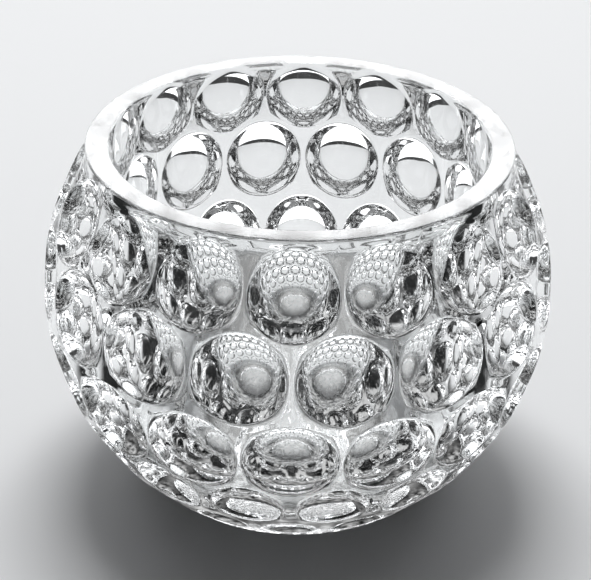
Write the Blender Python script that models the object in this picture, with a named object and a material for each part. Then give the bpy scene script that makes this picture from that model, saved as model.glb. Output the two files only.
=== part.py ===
"""Pressed-glass globe candle holder: a thick clear bowl, ground with staggered rows of round hollow lenses.

Metres, +Z up. The origin is the centre of the foot, on the table. One lens of the top row faces -Y.
"""

import math

import bmesh
import bpy
from mathutils import Matrix, Vector

MM = 0.001

# Body of the bowl
GLOBE_RADIUS = 50.0 * MM  # outside of the globe, between the lenses
TOTAL_HEIGHT = 72.0 * MM  # table to the flat rim
COLLAR_HEIGHT = 2.3 * MM  # short upright collar that carries the flat rim
FOOT_RADIUS = 28.5 * MM  # where the globe ends, just above the table
FOOT_RING = 9.5 * MM  # width of the ring that the bowl stands on
RECESS_DEPTH = 0.8 * MM  # shallow hollow inside that ring
WALL_BEHIND_LENS = 2.9 * MM  # glass between the mouth's width and the bottom of a top-row lens
WELL_DRAFT = math.radians(1.5)  # taper that lets the plunger out of the well
FLOOR_THICKNESS = 7.0 * MM  # glass under the candle
FLOOR_FILLET = 18.0 * MM  # round corner between the well's wall and floor
EDGE_CHAMFER = 0.6 * MM  # polished arris on both edges of the rim and on the foot

# Hollow lenses, row by row from the top: drop of the row's centres under the row above (the first under the
# collar), web left between neighbours, depth under the lens's edge
LENSES_PER_ROW = 16
LENS_ROWS = (
    (math.radians(9.4), 1.05 * MM, 5.7 * MM),
    (math.radians(18.5), 1.25 * MM, 6.2 * MM),
    (math.radians(20.9), 0.85 * MM, 6.0 * MM),
    (math.radians(17.1), 2.60 * MM, 3.6 * MM),
    (math.radians(15.2), 2.20 * MM, 2.4 * MM),
)
CUTTER_CLEARANCE = 0.5 * MM  # how far a cutter stands proud of the globe

CENTRE_HEIGHT = math.sqrt(GLOBE_RADIUS**2 - FOOT_RADIUS**2) + EDGE_CHAMFER  # globe's centre over the table
COLLAR_LATITUDE = math.asin((TOTAL_HEIGHT - COLLAR_HEIGHT - CENTRE_HEIGHT) / GLOBE_RADIUS)
COLLAR_RADIUS = GLOBE_RADIUS * math.cos(COLLAR_LATITUDE)
FOOT_LATITUDE = -math.acos(FOOT_RADIUS / GLOBE_RADIUS)

# Facets
TURN_STEPS = 48
GLOBE_BANDS = 13
FILLET_STEPS = 6
LENS_SIDES = 18
LENS_RINGS = (0.42, 0.8)  # rings of a lens, as shares of the way from its pole to its edge
MERGE_DISTANCE = 0.00001
SHARP_ANGLE = math.radians(28)

GLASS_COLOUR = (0.95, 0.97, 0.97, 1.0)
GLASS_ROUGHNESS = 0.03
GLASS_IOR = 1.52


def clear_scene():
    for obj in list(bpy.data.objects):
        bpy.data.objects.remove(obj)


def clear_glass():
    material = bpy.data.materials.new("clear_glass")
    material.use_nodes = True
    shader = material.node_tree.nodes["Principled BSDF"]
    shader.inputs["Base Color"].default_value = GLASS_COLOUR
    shader.inputs["Roughness"].default_value = GLASS_ROUGHNESS
    shader.inputs["Metallic"].default_value = 0.0
    shader.inputs["IOR"].default_value = GLASS_IOR
    shader.inputs["Transmission Weight"].default_value = 1.0
    return material


def add_object(name, mesh):
    obj = bpy.data.objects.new(name, mesh)
    bpy.context.scene.collection.objects.link(obj)
    return obj


def arc(centre, radius, start, end, steps):
    """Points (radius, height) of an arc between two angles above the horizontal, ends included."""
    turns = (start + (end - start) * i / steps for i in range(steps + 1))
    return [(centre[0] + radius * math.cos(t), centre[1] + radius * math.sin(t)) for t in turns]


def lens_edge_radius(latitude, web):
    """Radius of a lens's circular edge: half of what the web leaves between two centres on the globe."""
    spacing = 2 * GLOBE_RADIUS * math.cos(latitude) * math.sin(math.pi / LENSES_PER_ROW)
    return (spacing - web) / 2


def lens_rows():
    """Latitude, edge radius and depth of each row that ends above the foot."""
    rows = []
    latitude = COLLAR_LATITUDE
    for drop, web, depth in LENS_ROWS:
        latitude -= drop
        edge_radius = lens_edge_radius(latitude, web)
        if latitude - math.asin(edge_radius / GLOBE_RADIUS) > FOOT_LATITUDE:
            rows.append((latitude, edge_radius, depth))
    return rows


def mouth_radius():
    """Inside radius of the rim, which leaves the stated wall behind the top row's lenses."""
    latitude, edge_radius, depth = lens_rows()[0]
    deepest = math.sqrt(GLOBE_RADIUS**2 - edge_radius**2) - depth
    return deepest * math.cos(latitude) - WALL_BEHIND_LENS


def well_outline():
    """The inside, from the middle of the floor up to the rim's inner edge."""
    mouth = mouth_radius()
    wall_top = TOTAL_HEIGHT - EDGE_CHAMFER
    corner_height = FLOOR_THICKNESS + FLOOR_FILLET
    corner_wall = mouth - (wall_top - corner_height) * math.tan(WELL_DRAFT)
    corner = (corner_wall - FLOOR_FILLET / math.cos(WELL_DRAFT), corner_height)
    floor_edge = arc(corner, FLOOR_FILLET, -math.pi / 2, -WELL_DRAFT, FILLET_STEPS)
    rim_edge = [(mouth, wall_top), (mouth + EDGE_CHAMFER, TOTAL_HEIGHT)]
    return [(0.0, FLOOR_THICKNESS), *floor_edge, *rim_edge]


def globe_outline():
    """The outside, from the rim's outer edge down to the middle of the foot."""
    rim_edge = [(COLLAR_RADIUS - EDGE_CHAMFER, TOTAL_HEIGHT), (COLLAR_RADIUS, TOTAL_HEIGHT - EDGE_CHAMFER)]
    side = arc((0.0, CENTRE_HEIGHT), GLOBE_RADIUS, COLLAR_LATITUDE, FOOT_LATITUDE, GLOBE_BANDS)
    foot_edge = (FOOT_RADIUS - EDGE_CHAMFER, 0.0)
    recess_radius = FOOT_RADIUS - FOOT_RING
    recess = [(recess_radius, 0.0), (recess_radius - RECESS_DEPTH, RECESS_DEPTH), (0.0, RECESS_DEPTH)]
    return [*rim_edge, *side, foot_edge, *recess]


def turned_blank():
    """The pressed blank, before its lenses are ground: the half outline turned about Z."""
    outline = well_outline() + globe_outline()
    mesh = bpy.data.meshes.new("glass_bowl")
    edges = [(i, i + 1) for i in range(len(outline) - 1)]
    mesh.from_pydata([(r, 0.0, z) for r, z in outline], edges, [])
    blank = add_object("glass_bowl", mesh)
    turn = blank.modifiers.new("turn", "SCREW")
    turn.axis = "Z"
    turn.angle = 2 * math.pi
    turn.steps = turn.render_steps = TURN_STEPS
    turn.use_merge_vertices = True
    turn.merge_threshold = MERGE_DISTANCE
    return blank


def add_lens_cutter(cutters, latitude, longitude, edge_radius, depth):
    """Adds a ball-ended plug that meets the globe in a circle of edge_radius, depth under that circle."""
    ball = (edge_radius**2 + depth**2) / (2 * depth)
    chord_distance = math.sqrt(GLOBE_RADIUS**2 - edge_radius**2)
    proud = GLOBE_RADIUS + CUTTER_CLEARANCE - chord_distance
    edge_turn = math.asin(edge_radius / ball)
    top_turn = math.acos((ball - depth - proud) / ball)
    turns = [0.0, *(share * edge_turn for share in LENS_RINGS), top_turn]
    outline = [Vector((ball * math.sin(t), 0.0, ball - depth - ball * math.cos(t))) for t in turns]
    outline.append(Vector((0.0, 0.0, proud)))

    made = bmesh.new()
    points = [made.verts.new(p) for p in outline]
    profile = [made.edges.new(pair) for pair in zip(points, points[1:])]
    bmesh.ops.spin(
        made,
        geom=points + profile,
        cent=(0.0, 0.0, 0.0),
        axis=(0.0, 0.0, 1.0),
        angle=2 * math.pi,
        steps=LENS_SIDES,
        use_merge=True,
    )
    bmesh.ops.remove_doubles(made, verts=made.verts, dist=MERGE_DISTANCE)
    bmesh.ops.recalc_face_normals(made, faces=made.faces)

    outwards = Vector(
        (
            math.cos(latitude) * math.sin(longitude),
            -math.cos(latitude) * math.cos(longitude),
            math.sin(latitude),
        )
    )
    globe_centre = Vector((0.0, 0.0, CENTRE_HEIGHT))
    place = Matrix.Translation(globe_centre + outwards * chord_distance)
    turn = outwards.to_track_quat("Z", "Y").to_matrix().to_4x4()
    bmesh.ops.transform(made, matrix=place @ turn, verts=made.verts)
    plug = bpy.data.meshes.new("plug")
    made.to_mesh(plug)
    made.free()
    cutters.from_mesh(plug)
    bpy.data.meshes.remove(plug)


def lens_cutters():
    """All the grinding plugs as one helper. Odd rows stand half a pitch round from even ones."""
    pitch = 2 * math.pi / LENSES_PER_ROW
    cutters = bmesh.new()
    for row, (latitude, edge_radius, depth) in enumerate(lens_rows()):
        for place in range(LENSES_PER_ROW):
            longitude = (place + 0.5 * (row % 2)) * pitch
            add_lens_cutter(cutters, latitude, longitude, edge_radius, depth)
    mesh = bpy.data.meshes.new("lens_cutters")
    cutters.to_mesh(mesh)
    cutters.free()
    helper = add_object("lens_cutters", mesh)
    helper.hide_render = True
    helper.display_type = "WIRE"
    return helper


def glass_bowl():
    """The finished bowl: the turned blank less its lenses."""
    bowl = turned_blank()
    grind = bowl.modifiers.new("grind_lenses", "BOOLEAN")
    grind.operation = "DIFFERENCE"
    grind.solver = "EXACT"
    grind.object = lens_cutters()
    graph = bpy.context.evaluated_depsgraph_get()
    finished = bpy.data.meshes.new_from_object(bowl.evaluated_get(graph))
    bowl.modifiers.clear()
    bowl.data = finished
    finished.shade_smooth()
    finished.set_sharp_from_angle(angle=SHARP_ANGLE)
    finished.materials.clear()
    finished.materials.append(clear_glass())
    return bowl


clear_scene()
glass_bowl()
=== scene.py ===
"""Looks of the glass globe candle holder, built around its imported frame. Metres, +Z up."""

import math

import bpy
import numpy as np
from mathutils import Euler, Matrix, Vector


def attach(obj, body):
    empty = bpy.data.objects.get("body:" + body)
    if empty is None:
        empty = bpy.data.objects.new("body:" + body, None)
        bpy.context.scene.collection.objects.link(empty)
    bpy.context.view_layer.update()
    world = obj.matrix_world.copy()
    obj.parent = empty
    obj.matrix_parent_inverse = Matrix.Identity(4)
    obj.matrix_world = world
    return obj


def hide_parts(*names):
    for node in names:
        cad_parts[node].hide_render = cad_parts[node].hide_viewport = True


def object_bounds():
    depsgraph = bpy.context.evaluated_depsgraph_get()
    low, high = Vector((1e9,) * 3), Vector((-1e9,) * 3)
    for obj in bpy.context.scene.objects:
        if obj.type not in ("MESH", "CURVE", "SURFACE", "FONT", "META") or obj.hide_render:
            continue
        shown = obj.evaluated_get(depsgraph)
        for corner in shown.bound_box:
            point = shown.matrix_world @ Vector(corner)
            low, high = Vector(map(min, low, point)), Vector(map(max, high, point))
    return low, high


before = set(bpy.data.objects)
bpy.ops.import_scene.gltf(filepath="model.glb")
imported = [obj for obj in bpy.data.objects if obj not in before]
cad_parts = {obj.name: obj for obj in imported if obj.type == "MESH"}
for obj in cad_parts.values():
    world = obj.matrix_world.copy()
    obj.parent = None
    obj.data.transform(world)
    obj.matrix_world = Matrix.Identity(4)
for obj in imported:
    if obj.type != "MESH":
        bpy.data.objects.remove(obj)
cad_low, cad_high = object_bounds()


# The bowl: one piece of heavy clear glass, pressed hot in a mould, with a smooth well left by the plunger.
# Its globe is cut off at the rim, which is ground flat, and at the foot. Rows of round hollow lenses are
# ground and polished into it, each row half a step round from the next, with a thin web between them.

MM = 0.001
TOP = cad_high[2]
GLOBE_RADIUS = 50.0 * MM  # outside of the globe, between the lenses
CENTRE_HEIGHT = 41.68 * MM  # globe's centre over the table
COLLAR_RADIUS = 41.41 * MM  # short upright collar that carries the rim
MOUTH_RADIUS = 36.72 * MM
WELL_DRAFT = math.radians(1.5)  # taper that lets the plunger out
FLOOR_THICKNESS = 7.0 * MM
FLOOR_FILLET = 18.0 * MM  # round corner between the well's wall and floor
EDGE_ROUND = 0.6 * MM  # rounded edges of the rim and the foot
RECESS_RADIUS = 19.0 * MM  # shallow hollow under the foot
RECESS_DEPTH = 0.8 * MM
WEB_ROUND = 0.3 * MM  # width over which the edges of two hollows melt together

# Lens rows from the top: latitude of the centres, web between neighbours, depth under the lens's edge
LENSES_PER_ROW = 16
ROW_LATITUDE = np.radians([24.7, 6.2, -14.7, -31.8, -47.0])
ROW_WEB = np.array([1.05, 1.25, 0.85, 2.60, 2.20]) * MM
ROW_DEPTH = np.array([5.7, 6.2, 6.0, 3.6, 2.4]) * MM

# Grid of a lens and its cell of web
STEPS_ACROSS = 20  # along the top and the bottom of a cell
STEPS_UP = 14  # along its sides
LENS_RINGS = np.linspace(0.08, 1.0, 8)  # shares of the way from the pole to the lip
LENS_LIP = 0.8 * MM  # band just inside a lens's edge
LIP_RINGS = np.array([0.55, 0.25, 0.0])  # shares of the lip that are left to the edge
WEB_RINGS = np.array([0.35, 0.7, 1.0])  # shares of the way from the edge to the cell's border
BORDER_SWING = 0.9 * MM  # least swing of the line between two rows

# Steps along the turned outline
EDGE_STEPS = 4
WALL_STEPS = 7
FILLET_STEPS = 12
FLOOR_STEPS = 8
MERGE_DISTANCE = 0.002 * MM

PITCH = 2 * np.pi / LENSES_PER_ROW
STEPS_ROUND = LENSES_PER_ROW * STEPS_ACROSS
row_count = len(ROW_LATITUDE)
row_shift = 0.5 * PITCH * (np.arange(row_count) % 2)
row_edge = GLOBE_RADIUS * np.cos(ROW_LATITUDE) * np.sin(np.pi / LENSES_PER_ROW) - ROW_WEB / 2
row_ball = (row_edge**2 + ROW_DEPTH**2) / (2 * ROW_DEPTH)
row_ball_distance = np.sqrt(GLOBE_RADIUS**2 - row_edge**2) + row_ball - ROW_DEPTH
collar_top = math.atan2(TOP - EDGE_ROUND - CENTRE_HEIGHT, COLLAR_RADIUS)
foot_edge_low = math.asin((EDGE_ROUND - CENTRE_HEIGHT) / GLOBE_RADIUS)


def direction(latitude, longitude):
    """Unit vector from the globe's centre: longitude 0 points to -Y, and grows towards +X."""
    across = np.cos(latitude)
    upwards = np.sin(latitude) + 0 * longitude
    return np.stack([across * np.sin(longitude), -across * np.cos(longitude), upwards], axis=-1)


def row_turns(row):
    """Longitudes of one row's lenses: whole pitches, and half a pitch more in every other row."""
    return np.arange(LENSES_PER_ROW) * PITCH + row_shift[row]


def smooth_least(first, second, width):
    """The lesser of two lengths, with the ridge where they cross rounded off.

    Where they differ by less than width, width/4 * (1 - difference/width)^2 is taken from the lesser.
    """
    near = np.maximum(width - np.abs(first - second), 0.0) / width
    return np.minimum(first, second) - 0.25 * width * near**2


def outside_distance(towards):
    """Distance from the globe's centre to the outside along unit vectors.

    The body is the globe, or the upright collar where that stands further out. Each lens is a ball that
    takes away what lies past its near wall: t = D cos(a) - sqrt(r^2 - D^2 sin(a)^2), where r is the ball's
    radius, D its distance from the globe's centre and a the angle from the lens's axis.
    """
    level = np.sqrt(1 - towards[..., 2] ** 2)
    collar = np.where(towards[..., 2] > 0, COLLAR_RADIUS / level, 0.0)
    distance = -smooth_least(-GLOBE_RADIUS + 0 * level, -collar, WEB_ROUND)
    for row in range(row_count):
        reach = row_ball_distance[row]
        for axis in direction(ROW_LATITUDE[row], row_turns(row)):
            cosine = towards @ axis
            under_root = row_ball[row] ** 2 - reach**2 * (1 - cosine**2)
            ball = reach * cosine - np.sqrt(np.maximum(under_root, 0.0))
            ball = np.where((under_root > 0) & (cosine > 0), ball, 2 * GLOBE_RADIUS)
            distance = smooth_least(distance, ball, WEB_ROUND)
    return distance


def row_border(upper, longitude):
    """Latitude of the wavy line between row upper and the one under it.

    It is a cosine of the longitude, which dips under the upper row's lenses and climbs over the lower row's.
    """
    low = ROW_LATITUDE[upper] - row_edge[upper] / GLOBE_RADIUS
    high = ROW_LATITUDE[upper + 1] + row_edge[upper + 1] / GLOBE_RADIUS
    middle = 0.5 * (ROW_LATITUDE[upper] + ROW_LATITUDE[upper + 1])
    middle += 0.5 * (row_edge[upper + 1] - row_edge[upper]) / GLOBE_RADIUS
    swing = 0.5 * np.maximum(high - low, 0.0) + BORDER_SWING / GLOBE_RADIUS
    return middle - swing * np.cos(LENSES_PER_ROW * (longitude - row_shift[upper]))


def cell_border(row):
    """Latitude and longitude round one lens's cell, from its top right corner on round to the left."""
    side = np.linspace(1.0, -1.0, STEPS_ACROSS + 1) * PITCH / 2
    place = row_shift[row]
    upper = np.full_like(side, collar_top) if row == 0 else row_border(row - 1, place + side)
    lower = np.full_like(side, foot_edge_low) if row == row_count - 1 else row_border(row, place + side)
    climb = np.linspace(0.0, 1.0, STEPS_UP + 1)[:-1]
    latitude = np.concatenate(
        [
            upper[:-1],
            upper[-1] + (lower[-1] - upper[-1]) * climb,
            lower[::-1][:-1],
            lower[0] + (upper[0] - lower[0]) * climb,
        ]
    )
    longitude = np.concatenate([side[:-1], side[-1] + 0 * climb, side[::-1][:-1], side[0] + 0 * climb])
    return latitude, longitude


def lens_row(row):
    """Unit vectors of one row's grid, lens by lens, and of the lenses' poles.

    The two parameters are the ring and the place on the cell's border. A ring inside the lens keeps one
    angle from the lens's axis, and one on the web goes a share of the way from the edge to the border.
    """
    latitude, longitude = cell_border(row)
    border = direction(latitude, longitude)
    axis = direction(ROW_LATITUDE[row], 0.0)
    east = np.array([1.0, 0.0, 0.0])
    north = np.cross(east, axis)
    far = np.arccos(np.clip(border @ axis, -1, 1))
    turn = np.arctan2(border @ north, border @ east)
    edge = math.asin(row_edge[row] / GLOBE_RADIUS)
    lip = LENS_LIP / GLOBE_RADIUS
    inner = np.concatenate([LENS_RINGS * (edge - lip), edge - LIP_RINGS * lip])
    away = np.concatenate([inner[:, None] + 0 * far, edge + (far - edge) * WEB_RINGS[:, None]])
    points = (
        np.cos(away)[..., None] * axis
        + (np.sin(away) * np.cos(turn))[..., None] * east
        + (np.sin(away) * np.sin(turn))[..., None] * north
    )
    cosine = np.cos(row_turns(row))
    sine = np.sin(row_turns(row))
    spin = np.zeros((LENSES_PER_ROW, 3, 3))
    spin[:, 0, 0] = spin[:, 1, 1] = cosine
    spin[:, 0, 1] = -sine
    spin[:, 1, 0] = sine
    spin[:, 2, 2] = 1.0
    return np.einsum("kab,rmb->krma", spin, points), np.einsum("kab,b->ka", spin, axis)


def lens_row_mesh(row):
    """Points and faces of one row: a fan round each pole, then quads from ring to ring."""
    rings, poles = lens_row(row)
    lenses, ring_count, around, _ = rings.shape
    towards = np.concatenate([poles[:, None, :], rings.reshape(lenses, -1, 3)], axis=1)
    points = towards * outside_distance(towards)[..., None]
    here = np.arange(around)
    following = (here + 1) % around
    fan = np.stack([np.zeros(around, int), 1 + here, 1 + following, 1 + following], axis=-1)
    start = 1 + around * np.arange(ring_count - 1)[:, None]
    after = start + around
    quads = np.stack([start + here, after + here, after + following, start + following], axis=-1)
    one = np.concatenate([fan, quads.reshape(-1, 4)])
    faces = one[None] + (np.arange(lenses) * (1 + ring_count * around))[:, None, None]
    return points.reshape(-1, 3) + np.array([0, 0, CENTRE_HEIGHT]), faces.reshape(-1, 4)


def arc(centre, radius, start, end, steps):
    """Points (radius, height) on an arc between two angles above the horizontal, both ends included."""
    turn = np.radians(np.linspace(start, end, steps + 1))
    return np.stack([centre[0] + radius * np.cos(turn), centre[1] + radius * np.sin(turn)], axis=-1)


def turned(outline):
    """Points and faces of an outline (radius, height) carried round the axis, in step with the cells."""
    turn = np.arange(STEPS_ROUND) * 2 * np.pi / STEPS_ROUND - PITCH / 2
    radius = outline[:, None, 0]
    height = outline[:, None, 1]
    points = np.stack([radius * np.sin(turn), -radius * np.cos(turn), height + 0 * turn], axis=-1)
    here = np.arange(STEPS_ROUND)
    following = (here + 1) % STEPS_ROUND
    start = STEPS_ROUND * np.arange(len(outline) - 1)[:, None]
    after = start + STEPS_ROUND
    faces = np.stack([start + here, start + following, after + following, after + here], axis=-1)
    return points.reshape(-1, 3), faces.reshape(-1, 4)


def well_and_rim():
    """Outline from the collar's top over the flat rim, down the tapered well and in along its floor."""
    wall_top = TOP - EDGE_ROUND
    rim_out = arc((COLLAR_RADIUS - EDGE_ROUND, wall_top), EDGE_ROUND, 0, 90, EDGE_STEPS)
    rim_in = arc((MOUTH_RADIUS + EDGE_ROUND, wall_top), EDGE_ROUND, 90, 180, EDGE_STEPS)
    corner_height = FLOOR_THICKNESS + FLOOR_FILLET
    corner_wall = MOUTH_RADIUS - (wall_top - corner_height) * math.tan(WELL_DRAFT)
    corner = (corner_wall - FLOOR_FILLET / math.cos(WELL_DRAFT), corner_height)
    fillet = arc(corner, FLOOR_FILLET, -math.degrees(WELL_DRAFT), -90, FILLET_STEPS)
    wall = np.linspace(rim_in[-1], fillet[0], WALL_STEPS + 1)[1:-1]
    floor = np.linspace(fillet[-1], [0.0, FLOOR_THICKNESS], FLOOR_STEPS + 1)[1:]
    return np.concatenate([rim_out, rim_in, wall, fillet, floor])


def foot():
    """Outline from the middle of the hollow under the foot, out along the flat ring and round its edge.

    The hollow's points are shares of its radius and depth, and the edge's points count its round from the
    outside of the foot.
    """
    edge_radius = GLOBE_RADIUS * math.cos(foot_edge_low)
    hollow = np.array([[0.0, 1.0], [0.5, 1.0], [0.93, 1.0], [0.96, 0.8], [1.0, 0.0]])
    edge = np.array([[-1.2, 0.0], [-0.5, 0.2], [0.0, 1.0]])
    return np.concatenate([hollow * [RECESS_RADIUS, RECESS_DEPTH], [edge_radius, 0.0] + edge * EDGE_ROUND])


def joined_mesh(name, pieces):
    """One mesh of several pieces, with points that lie on each other made one.

    A corner that falls on the one before it is left out, so a quad at a pole becomes a triangle.
    """
    starts = np.cumsum([0] + [len(points) for points, _ in pieces[:-1]])
    points = np.concatenate([points for points, _ in pieces])
    faces = np.concatenate([faces + start for (_, faces), start in zip(pieces, starts)])
    steps = np.round(points / MERGE_DISTANCE).astype(int)
    _, first, same = np.unique(steps, axis=0, return_index=True, return_inverse=True)
    corners = same.reshape(-1)[faces]
    kept = corners != np.roll(corners, 1, axis=1)
    sides = kept.sum(axis=1)
    quads = corners[sides == 4]
    triangles = corners[sides == 3][kept[sides == 3]].reshape(-1, 3)
    mesh = bpy.data.meshes.new(name)
    mesh.from_pydata(points[first], [], quads.tolist() + triangles.tolist())
    mesh.validate()
    return mesh


pieces = [lens_row_mesh(row) for row in range(row_count)] + [turned(well_and_rim()), turned(foot())]
bowl_mesh = joined_mesh("glass_bowl", pieces)
bowl_mesh.shade_smooth()
bowl = bpy.data.objects.new("glass_bowl_polished", bowl_mesh)
bpy.context.scene.collection.objects.link(bowl)

GLASS_COLOUR = "FDFEFE"
GLASS_IOR = 1.52
WAVE_WIDTH = 9 * MM
WAVE_DEPTH = 0.05 * MM
CRINKLE_WIDTH = 2.5 * MM
CRINKLE_DEPTH = 0.45 * MM
STIPPLE_LIMITS = (0.46, 0.56)  # heights of the crinkles between which they turn matt
STIPPLE_MATT = 0.5
UNDERSIDE_FADE = (1.4 * MM, 1.0 * MM)  # heights where the crinkles start and are full
GRIT_WIDTH = 1.2 * MM  # real grit is too fine to show, so it is drawn this coarse
GRIT_DEPTH = 0.006 * MM
RIM_MATT = 0.25
RIM_FADE = (TOP - 0.3 * MM, TOP - 0.1 * MM)  # heights where the ground finish starts and is full


def linear(hex_colour):
    """Linear RGBA of an sRGB colour written as six hex digits."""
    values = [int(hex_colour[i : i + 2], 16) / 255 for i in (0, 2, 4)]
    return (*(v / 12.92 if v <= 0.04045 else ((v + 0.055) / 1.055) ** 2.4 for v in values), 1.0)


def add_node(tree, kind, inputs=None, **settings):
    """Adds a node with its settings, links each input that is given a socket, and returns its outputs.

    Inputs go by name or number. On Map Range, 0 is the value, 1 and 2 are the range that it is read on, and
    3 and 4 the range that it is mapped to, 0 to 1 if not given. On Mix, 0 is the share of the second of two
    numbers, 2 and 3, or colours, 6 and 7.
    """
    node = tree.nodes.new(kind)
    for name, value in settings.items():
        setattr(node, name, value)
    for place, value in (inputs or {}).items():
        if isinstance(value, bpy.types.NodeSocket):
            tree.links.new(value, node.inputs[place])
        else:
            node.inputs[place].default_value = value
    return node.outputs


def pressed_glass():
    """Colourless glass that bends the light hard and mirrors it sharply.

    The mould leaves its faces very slightly wavy, which makes straight edges behind them swim. The underside
    is left crinkled and partly matt, which softens what shows through the floor, and the ground rim is
    finely matt.
    """
    material = bpy.data.materials.new("colourless_pressed_glass")
    material.use_nodes = True
    tree = material.node_tree
    shader = tree.nodes["Principled BSDF"].inputs
    shader["Base Color"].default_value = linear(GLASS_COLOUR)
    shader["IOR"].default_value = GLASS_IOR
    shader["Transmission Weight"].default_value = 1.0
    place = add_node(tree, "ShaderNodeTexCoord")["Object"]
    height = add_node(tree, "ShaderNodeSeparateXYZ", {0: place})["Z"]
    rim = add_node(tree, "ShaderNodeMapRange", {0: height, 1: RIM_FADE[0], 2: RIM_FADE[1]})[0]
    underside = add_node(
        tree, "ShaderNodeMapRange", {0: height, 1: UNDERSIDE_FADE[0], 2: UNDERSIDE_FADE[1]}
    )[0]

    waves = add_node(tree, "ShaderNodeTexNoise", {"Vector": place, "Scale": 1 / WAVE_WIDTH})[0]
    crinkles = add_node(tree, "ShaderNodeTexNoise", {"Vector": place, "Scale": 1 / CRINKLE_WIDTH})[0]
    grit = add_node(tree, "ShaderNodeTexNoise", {"Vector": place, "Scale": 1 / GRIT_WIDTH})[0]
    crinkles = add_node(tree, "ShaderNodeMath", {0: crinkles, 1: underside}, operation="MULTIPLY")[0]
    grit = add_node(tree, "ShaderNodeMath", {0: grit, 1: rim}, operation="MULTIPLY")[0]
    relief = add_node(tree, "ShaderNodeMath", {0: waves, 1: WAVE_DEPTH}, operation="MULTIPLY")[0]
    for bumps, depth in ((crinkles, CRINKLE_DEPTH), (grit, GRIT_DEPTH)):
        relief = add_node(
            tree, "ShaderNodeMath", {0: bumps, 1: depth, 2: relief}, operation="MULTIPLY_ADD"
        )[0]
    bump = add_node(tree, "ShaderNodeBump", {"Strength": 1.0, "Distance": 1.0, "Height": relief})
    tree.links.new(bump["Normal"], shader["Normal"])

    ground = add_node(tree, "ShaderNodeMath", {0: rim, 1: RIM_MATT}, operation="MULTIPLY")[0]
    stipple = add_node(
        tree,
        "ShaderNodeMapRange",
        {0: crinkles, 1: STIPPLE_LIMITS[0], 2: STIPPLE_LIMITS[1], 4: STIPPLE_MATT},
    )[0]
    rough = add_node(tree, "ShaderNodeMath", {0: ground, 1: stipple}, operation="MAXIMUM")[0]
    tree.links.new(rough, shader["Roughness"])
    return material


bowl_mesh.materials.append(pressed_glass())
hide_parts("glass_bowl")
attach(bowl, "root")


# The stage: a plain pale table top, round in front and cut straight behind, just out of the picture. In the
# glass, the table in front of the bowl carries a painted shadow, a dark tone, and a painted glow stands in
# for the light that the lenses gather: a soft pool under the foot, a mottled band round its near side, and
# streaks further out.

TABLE_RADIUS = 0.8
TABLE_BACK = 0.35  # where the straight edge lies
TABLE_STEPS = 96

rim_turn = np.arange(TABLE_STEPS) * 2 * np.pi / TABLE_STEPS
table_edge = np.stack([np.cos(rim_turn), np.sin(rim_turn), 0 * rim_turn], axis=-1) * TABLE_RADIUS
table_edge[:, 1] = np.minimum(table_edge[:, 1], TABLE_BACK)
table_mesh = bpy.data.meshes.new("table")
table_mesh.from_pydata(table_edge, [], [tuple(range(TABLE_STEPS))])
table = bpy.data.objects.new("table", table_mesh)
bpy.context.scene.collection.objects.link(table)

TABLE_ROUGHNESS = 0.8
TABLE_SHINE = 0.15
# Painted shade: the table is drawn a little darker towards the front than at the back
TABLE_FRONT_TONE = "E4E5E6"
TABLE_BACK_TONE = "EAEBEC"
TABLE_BLEND = (-0.16, 0.24)  # from front to back
GLASS_NEAR_TONE = "F2F3F4"  # table just behind the bowl, as the glass shows it; painted shade darkens it further back
GLASS_FAR_TONE = "D4D5D6"
GLASS_BLEND = (0.05, 0.4)
# Painted shadow: the dark tone of the table in front of the bowl, as the glass shows it
PAINTED_SHADOW_TONE = "141515"
PAINTED_SHADOW_SPREAD = 0.4  # how far back the painted shadow's edge runs for each metre to the side
PAINTED_SHADOW_FADE = (-15 * MM, -40 * MM)

# Painted glow that stands in for the light that the lenses gather: each pair goes from where it starts to
# where it is full
PAINTED_GLOW_TONE = "FFFFFF"
POOL_LIGHT = 0.5
POOL_CENTRE = (0.0, 11 * MM, 0.0)
POOL_FADE = (29 * MM, 9 * MM)
BAND_LIGHT = 0.7
BAND_GRAIN = 3 * MM
BAND_MOTTLE = (0.3, 0.75)
BAND_INSIDE = (19 * MM, 24 * MM)
BAND_OUTSIDE = (38 * MM, 32 * MM)
BAND_BACK = (8 * MM, -8 * MM)
STREAK_LIGHT = 0.6
STREAK_TURN = 0.24  # width, as an angle round the bowl
STREAK_LENGTH = 40 * MM
STREAK_DETAIL = 1.5
STREAK_EDGE = (0.55, 0.62)
STREAK_START = (29 * MM, 33 * MM)
STREAK_END = (110 * MM, 60 * MM)

SMOOTH = {"interpolation_type": "SMOOTHSTEP"}
COLOUR_MIX = {"data_type": "RGBA"}


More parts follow.
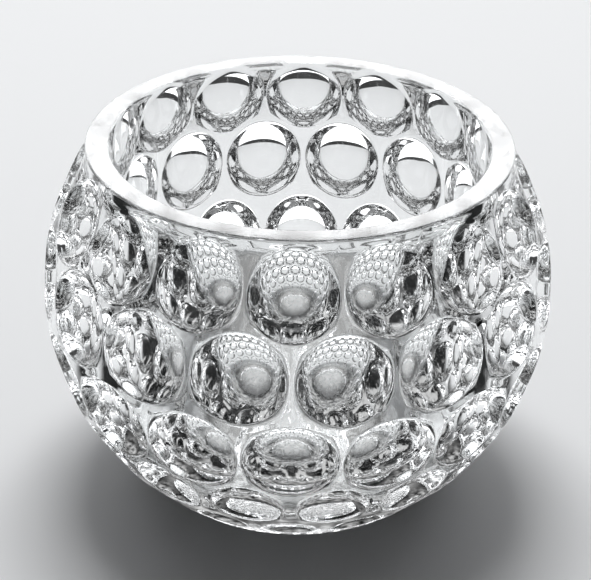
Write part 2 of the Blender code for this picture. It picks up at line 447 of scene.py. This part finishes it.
def pale_table():
    """Matt pale grey, a little lighter towards the back, which is painted light fall-off.

    Rays that come through the glass or off it meet other tones: painted shade that darkens the table further
    back, a painted shadow in front of the bowl, and a painted glow for the light that the lenses gather,
    which the eye never sees directly. Light that the table has already scattered finds it dark.
    """
    material = bpy.data.materials.new("pale_matt_table")
    material.use_nodes = True
    tree = material.node_tree
    shader = tree.nodes["Principled BSDF"].inputs
    shader["Roughness"].default_value = TABLE_ROUGHNESS
    shader["Specular IOR Level"].default_value = TABLE_SHINE
    shader["Emission Color"].default_value = linear(PAINTED_GLOW_TONE)
    place = add_node(tree, "ShaderNodeTexCoord")["Object"]
    axes = add_node(tree, "ShaderNodeSeparateXYZ", {0: place})
    away = add_node(tree, "ShaderNodeVectorMath", {0: place}, operation="LENGTH")["Value"]
    path = add_node(tree, "ShaderNodeLightPath")
    later = add_node(tree, "ShaderNodeMath", {0: path["Diffuse Depth"], 1: 0.5}, operation="GREATER_THAN")[0]
    # Painted shadow: a wedge in front of the bowl that the glass sees dark
    sideways = add_node(tree, "ShaderNodeMath", {0: axes["X"]}, operation="ABSOLUTE")[0]
    wedge = add_node(
        tree, "ShaderNodeMath", {0: sideways, 1: -PAINTED_SHADOW_SPREAD, 2: axes["Y"]}, operation="MULTIPLY_ADD"
    )[0]
    in_front = add_node(
        tree, "ShaderNodeMapRange", {0: wedge, 1: PAINTED_SHADOW_FADE[0], 2: PAINTED_SHADOW_FADE[1]}, **SMOOTH
    )[0]

    # Painted shade: the camera sees the table darker towards the front
    rise = add_node(
        tree, "ShaderNodeMapRange", {0: axes["Y"], 1: TABLE_BLEND[0], 2: TABLE_BLEND[1]}, **SMOOTH
    )[0]
    # Painted shade: as the glass shows it, the table grows darker further back
    fall = add_node(
        tree, "ShaderNodeMapRange", {0: axes["Y"], 1: GLASS_BLEND[0], 2: GLASS_BLEND[1]}, **SMOOTH
    )[0]
    dark = add_node(tree, "ShaderNodeMath", {0: in_front, 1: later}, operation="MAXIMUM")[0]
    seen = add_node(
        tree,
        "ShaderNodeMix",
        {0: rise, 6: linear(TABLE_FRONT_TONE), 7: linear(TABLE_BACK_TONE)},
        **COLOUR_MIX,
    )[2]
    behind = add_node(
        tree,
        "ShaderNodeMix",
        {0: fall, 6: linear(GLASS_NEAR_TONE), 7: linear(GLASS_FAR_TONE)},
        **COLOUR_MIX,
    )[2]
    in_glass = add_node(tree, "ShaderNodeMix", {0: dark, 6: behind, 7: linear(PAINTED_SHADOW_TONE)}, **COLOUR_MIX)[2]
    colour = add_node(
        tree, "ShaderNodeMix", {0: path["Is Camera Ray"], 6: in_glass, 7: seen}, **COLOUR_MIX
    )[2]
    tree.links.new(colour, shader["Base Color"])

    # Painted glow: a pool under the foot, a mottled band and streaks, drawn as emission on the table
    off_pool = add_node(tree, "ShaderNodeVectorMath", {0: place, 1: POOL_CENTRE}, operation="DISTANCE")
    pool = add_node(
        tree,
        "ShaderNodeMapRange",
        {0: off_pool["Value"], 1: POOL_FADE[0], 2: POOL_FADE[1], 4: POOL_LIGHT},
        **SMOOTH,
    )[0]

    mottle = add_node(tree, "ShaderNodeTexNoise", {"Vector": place, "Scale": 1 / BAND_GRAIN})[0]
    band = add_node(
        tree,
        "ShaderNodeMapRange",
        {0: mottle, 1: BAND_MOTTLE[0], 2: BAND_MOTTLE[1], 4: BAND_LIGHT},
        **SMOOTH,
    )[0]
    for along, fade in ((away, BAND_INSIDE), (away, BAND_OUTSIDE), (axes["Y"], BAND_BACK)):
        share = add_node(tree, "ShaderNodeMapRange", {0: along, 1: fade[0], 2: fade[1]}, **SMOOTH)[0]
        band = add_node(tree, "ShaderNodeMath", {0: band, 1: share}, operation="MULTIPLY")[0]

    turn = add_node(tree, "ShaderNodeMath", {0: axes["X"], 1: axes["Y"]}, operation="ARCTAN2")[0]
    outwards = add_node(
        tree, "ShaderNodeMath", {0: away, 1: STREAK_TURN / STREAK_LENGTH}, operation="MULTIPLY"
    )[0]
    fan = add_node(tree, "ShaderNodeCombineXYZ", {0: turn, 1: outwards})[0]
    ripples = add_node(
        tree, "ShaderNodeTexNoise", {"Vector": fan, "Scale": 1 / STREAK_TURN, "Detail": STREAK_DETAIL}
    )[0]
    streaks = add_node(
        tree,
        "ShaderNodeMapRange",
        {0: ripples, 1: STREAK_EDGE[0], 2: STREAK_EDGE[1], 4: STREAK_LIGHT},
        **SMOOTH,
    )[0]
    streaks = add_node(tree, "ShaderNodeMath", {0: streaks, 1: in_front}, operation="MULTIPLY")[0]
    for fade in (STREAK_START, STREAK_END):
        share = add_node(tree, "ShaderNodeMapRange", {0: away, 1: fade[0], 2: fade[1]}, **SMOOTH)[0]
        streaks = add_node(tree, "ShaderNodeMath", {0: streaks, 1: share}, operation="MULTIPLY")[0]

    # The painted glow is hidden from the camera and from light that the table has already scattered
    glow = streaks
    for light in (pool, band):
        glow = add_node(tree, "ShaderNodeMath", {0: glow, 1: light}, operation="ADD")[0]
    hidden = add_node(tree, "ShaderNodeMath", {0: path["Is Camera Ray"], 1: later}, operation="MAXIMUM")[0]
    strength = add_node(tree, "ShaderNodeMix", {0: hidden, 2: glow, 3: 0.0})[0]
    tree.links.new(strength, shader["Emission Strength"])
    return material


table_mesh.materials.append(pale_table())


# Light: a studio that is bright behind the bowl and dim elsewhere, with a soft box high at the back that
# throws the shadow forwards, and a second one that shines only in mirror reflections, mostly on the flat
# rim. The camera sees a pale wall all round.

STUDIO_COLOUR = "F8F9FB"
WALL = 0.86  # as the camera sees it
FILL = 0.11  # on the table
BEHIND = 3.2  # these four are what the glass shows
OVERHEAD = 0.3
FRONT = 0.42
ELSEWHERE = 0.05

# Edges of those areas, as parts of a unit vector: X to the right, Y to the back and Z up
BEHIND_SIDES = (0.75, 0.55)
BEHIND_BACK = (0.1, 0.5)
BEHIND_FOOT = (-0.12, -0.095)
BEHIND_TOP = (0.9, 0.75)
OVERHEAD_FOOT = (0.8, 0.95)
FRONT_BACK = (-0.2, -0.5)
FRONT_FOOT = (0.1, 0.25)

world = bpy.data.worlds.new("studio")
bpy.context.scene.world = world
world.use_nodes = True
sky = world.node_tree
towards = add_node(sky, "ShaderNodeTexCoord")["Generated"]
axes = add_node(sky, "ShaderNodeSeparateXYZ", {0: towards})
sideways = add_node(sky, "ShaderNodeMath", {0: axes["X"]}, operation="ABSOLUTE")[0]
behind = add_node(
    sky, "ShaderNodeMapRange", {0: axes["Y"], 1: BEHIND_BACK[0], 2: BEHIND_BACK[1], 4: BEHIND}, **SMOOTH
)[0]
for along, fade in ((axes["Z"], BEHIND_FOOT), (axes["Z"], BEHIND_TOP), (sideways, BEHIND_SIDES)):
    share = add_node(sky, "ShaderNodeMapRange", {0: along, 1: fade[0], 2: fade[1]}, **SMOOTH)[0]
    behind = add_node(sky, "ShaderNodeMath", {0: behind, 1: share}, operation="MULTIPLY")[0]
overhead = add_node(
    sky,
    "ShaderNodeMapRange",
    {0: axes["Z"], 1: OVERHEAD_FOOT[0], 2: OVERHEAD_FOOT[1], 3: ELSEWHERE, 4: OVERHEAD},
    **SMOOTH,
)[0]
front = add_node(
    sky, "ShaderNodeMapRange", {0: axes["Y"], 1: FRONT_BACK[0], 2: FRONT_BACK[1], 4: FRONT}, **SMOOTH
)[0]
share = add_node(sky, "ShaderNodeMapRange", {0: axes["Z"], 1: FRONT_FOOT[0], 2: FRONT_FOOT[1]}, **SMOOTH)[0]
front = add_node(sky, "ShaderNodeMath", {0: front, 1: share}, operation="MULTIPLY")[0]
in_glass = behind
for area in (overhead, front):
    in_glass = add_node(sky, "ShaderNodeMath", {0: in_glass, 1: area}, operation="MAXIMUM")[0]
path = add_node(sky, "ShaderNodeLightPath")
on_table = add_node(sky, "ShaderNodeMath", {0: path["Diffuse Depth"], 1: 0.5}, operation="GREATER_THAN")[0]
level = add_node(sky, "ShaderNodeMix", {0: on_table, 2: in_glass, 3: FILL})[0]
level = add_node(sky, "ShaderNodeMix", {0: path["Is Camera Ray"], 2: level, 3: WALL})[0]
sky.links.new(level, sky.nodes["Background"].inputs["Strength"])
sky.nodes["Background"].inputs["Color"].default_value = linear(STUDIO_COLOUR)


def soft_box(name, place, target, size, power):
    """A rectangular soft light at place, facing target, which isn't seen through the glass."""
    lamp = bpy.data.lights.new(name, "AREA")
    lamp.shape = "RECTANGLE"
    lamp.size, lamp.size_y = size
    lamp.energy = power
    obj = bpy.data.objects.new(name, lamp)
    obj.location = place
    obj.rotation_euler = (Vector(target) - Vector(place)).to_track_quat("-Z", "Y").to_euler()
    obj.visible_transmission = False
    bpy.context.scene.collection.objects.link(obj)
    return obj


shadow_light = soft_box(
    "high_soft_box", place=(-0.04, 0.38, 1.0), target=(0.0, 0.0, 0.03), size=(0.5, 0.4), power=7.5
)
shadow_light.visible_glossy = False
rim_light = soft_box(
    "rim_reflector", place=(0.0, 0.9, 0.56), target=(0.0, 0.0, 0.07), size=(1.2, 0.5), power=6.0
)
rim_light.visible_diffuse = False


# Camera: the photograph's view, a long lens half a metre from the bowl that looks down into it a little. Its
# angles and shift were found by fitting the bowl's outline and lenses to the picture.

FRAME_WIDTH = 591  # pixels
FOCAL_PIXELS = 2524.0
SHIFT_PIXELS = (-2.1, -10.5)
SENSOR = 36.0
DISTANCE = 0.5
ELEVATION = math.radians(28.64)
AZIMUTH = math.radians(0.84)
ROLL = math.radians(1.09)

camera_data = bpy.data.cameras.new("camera")
camera_data.sensor_width = SENSOR
camera_data.lens = FOCAL_PIXELS * SENSOR / FRAME_WIDTH
camera_data.shift_x = SHIFT_PIXELS[0] / FRAME_WIDTH
camera_data.shift_y = SHIFT_PIXELS[1] / FRAME_WIDTH
camera = bpy.data.objects.new("camera", camera_data)
back = Vector(direction(ELEVATION, AZIMUTH))
camera.location = Vector((0, 0, CENTRE_HEIGHT)) + DISTANCE * back
turn = back.to_track_quat("Z", "Y") @ Euler((0, 0, ROLL)).to_quaternion()
camera.rotation_euler = turn.to_euler()
bpy.context.scene.collection.objects.link(camera)
bpy.context.scene.camera = camera

bpy.context.scene.view_settings.view_transform = "Standard"
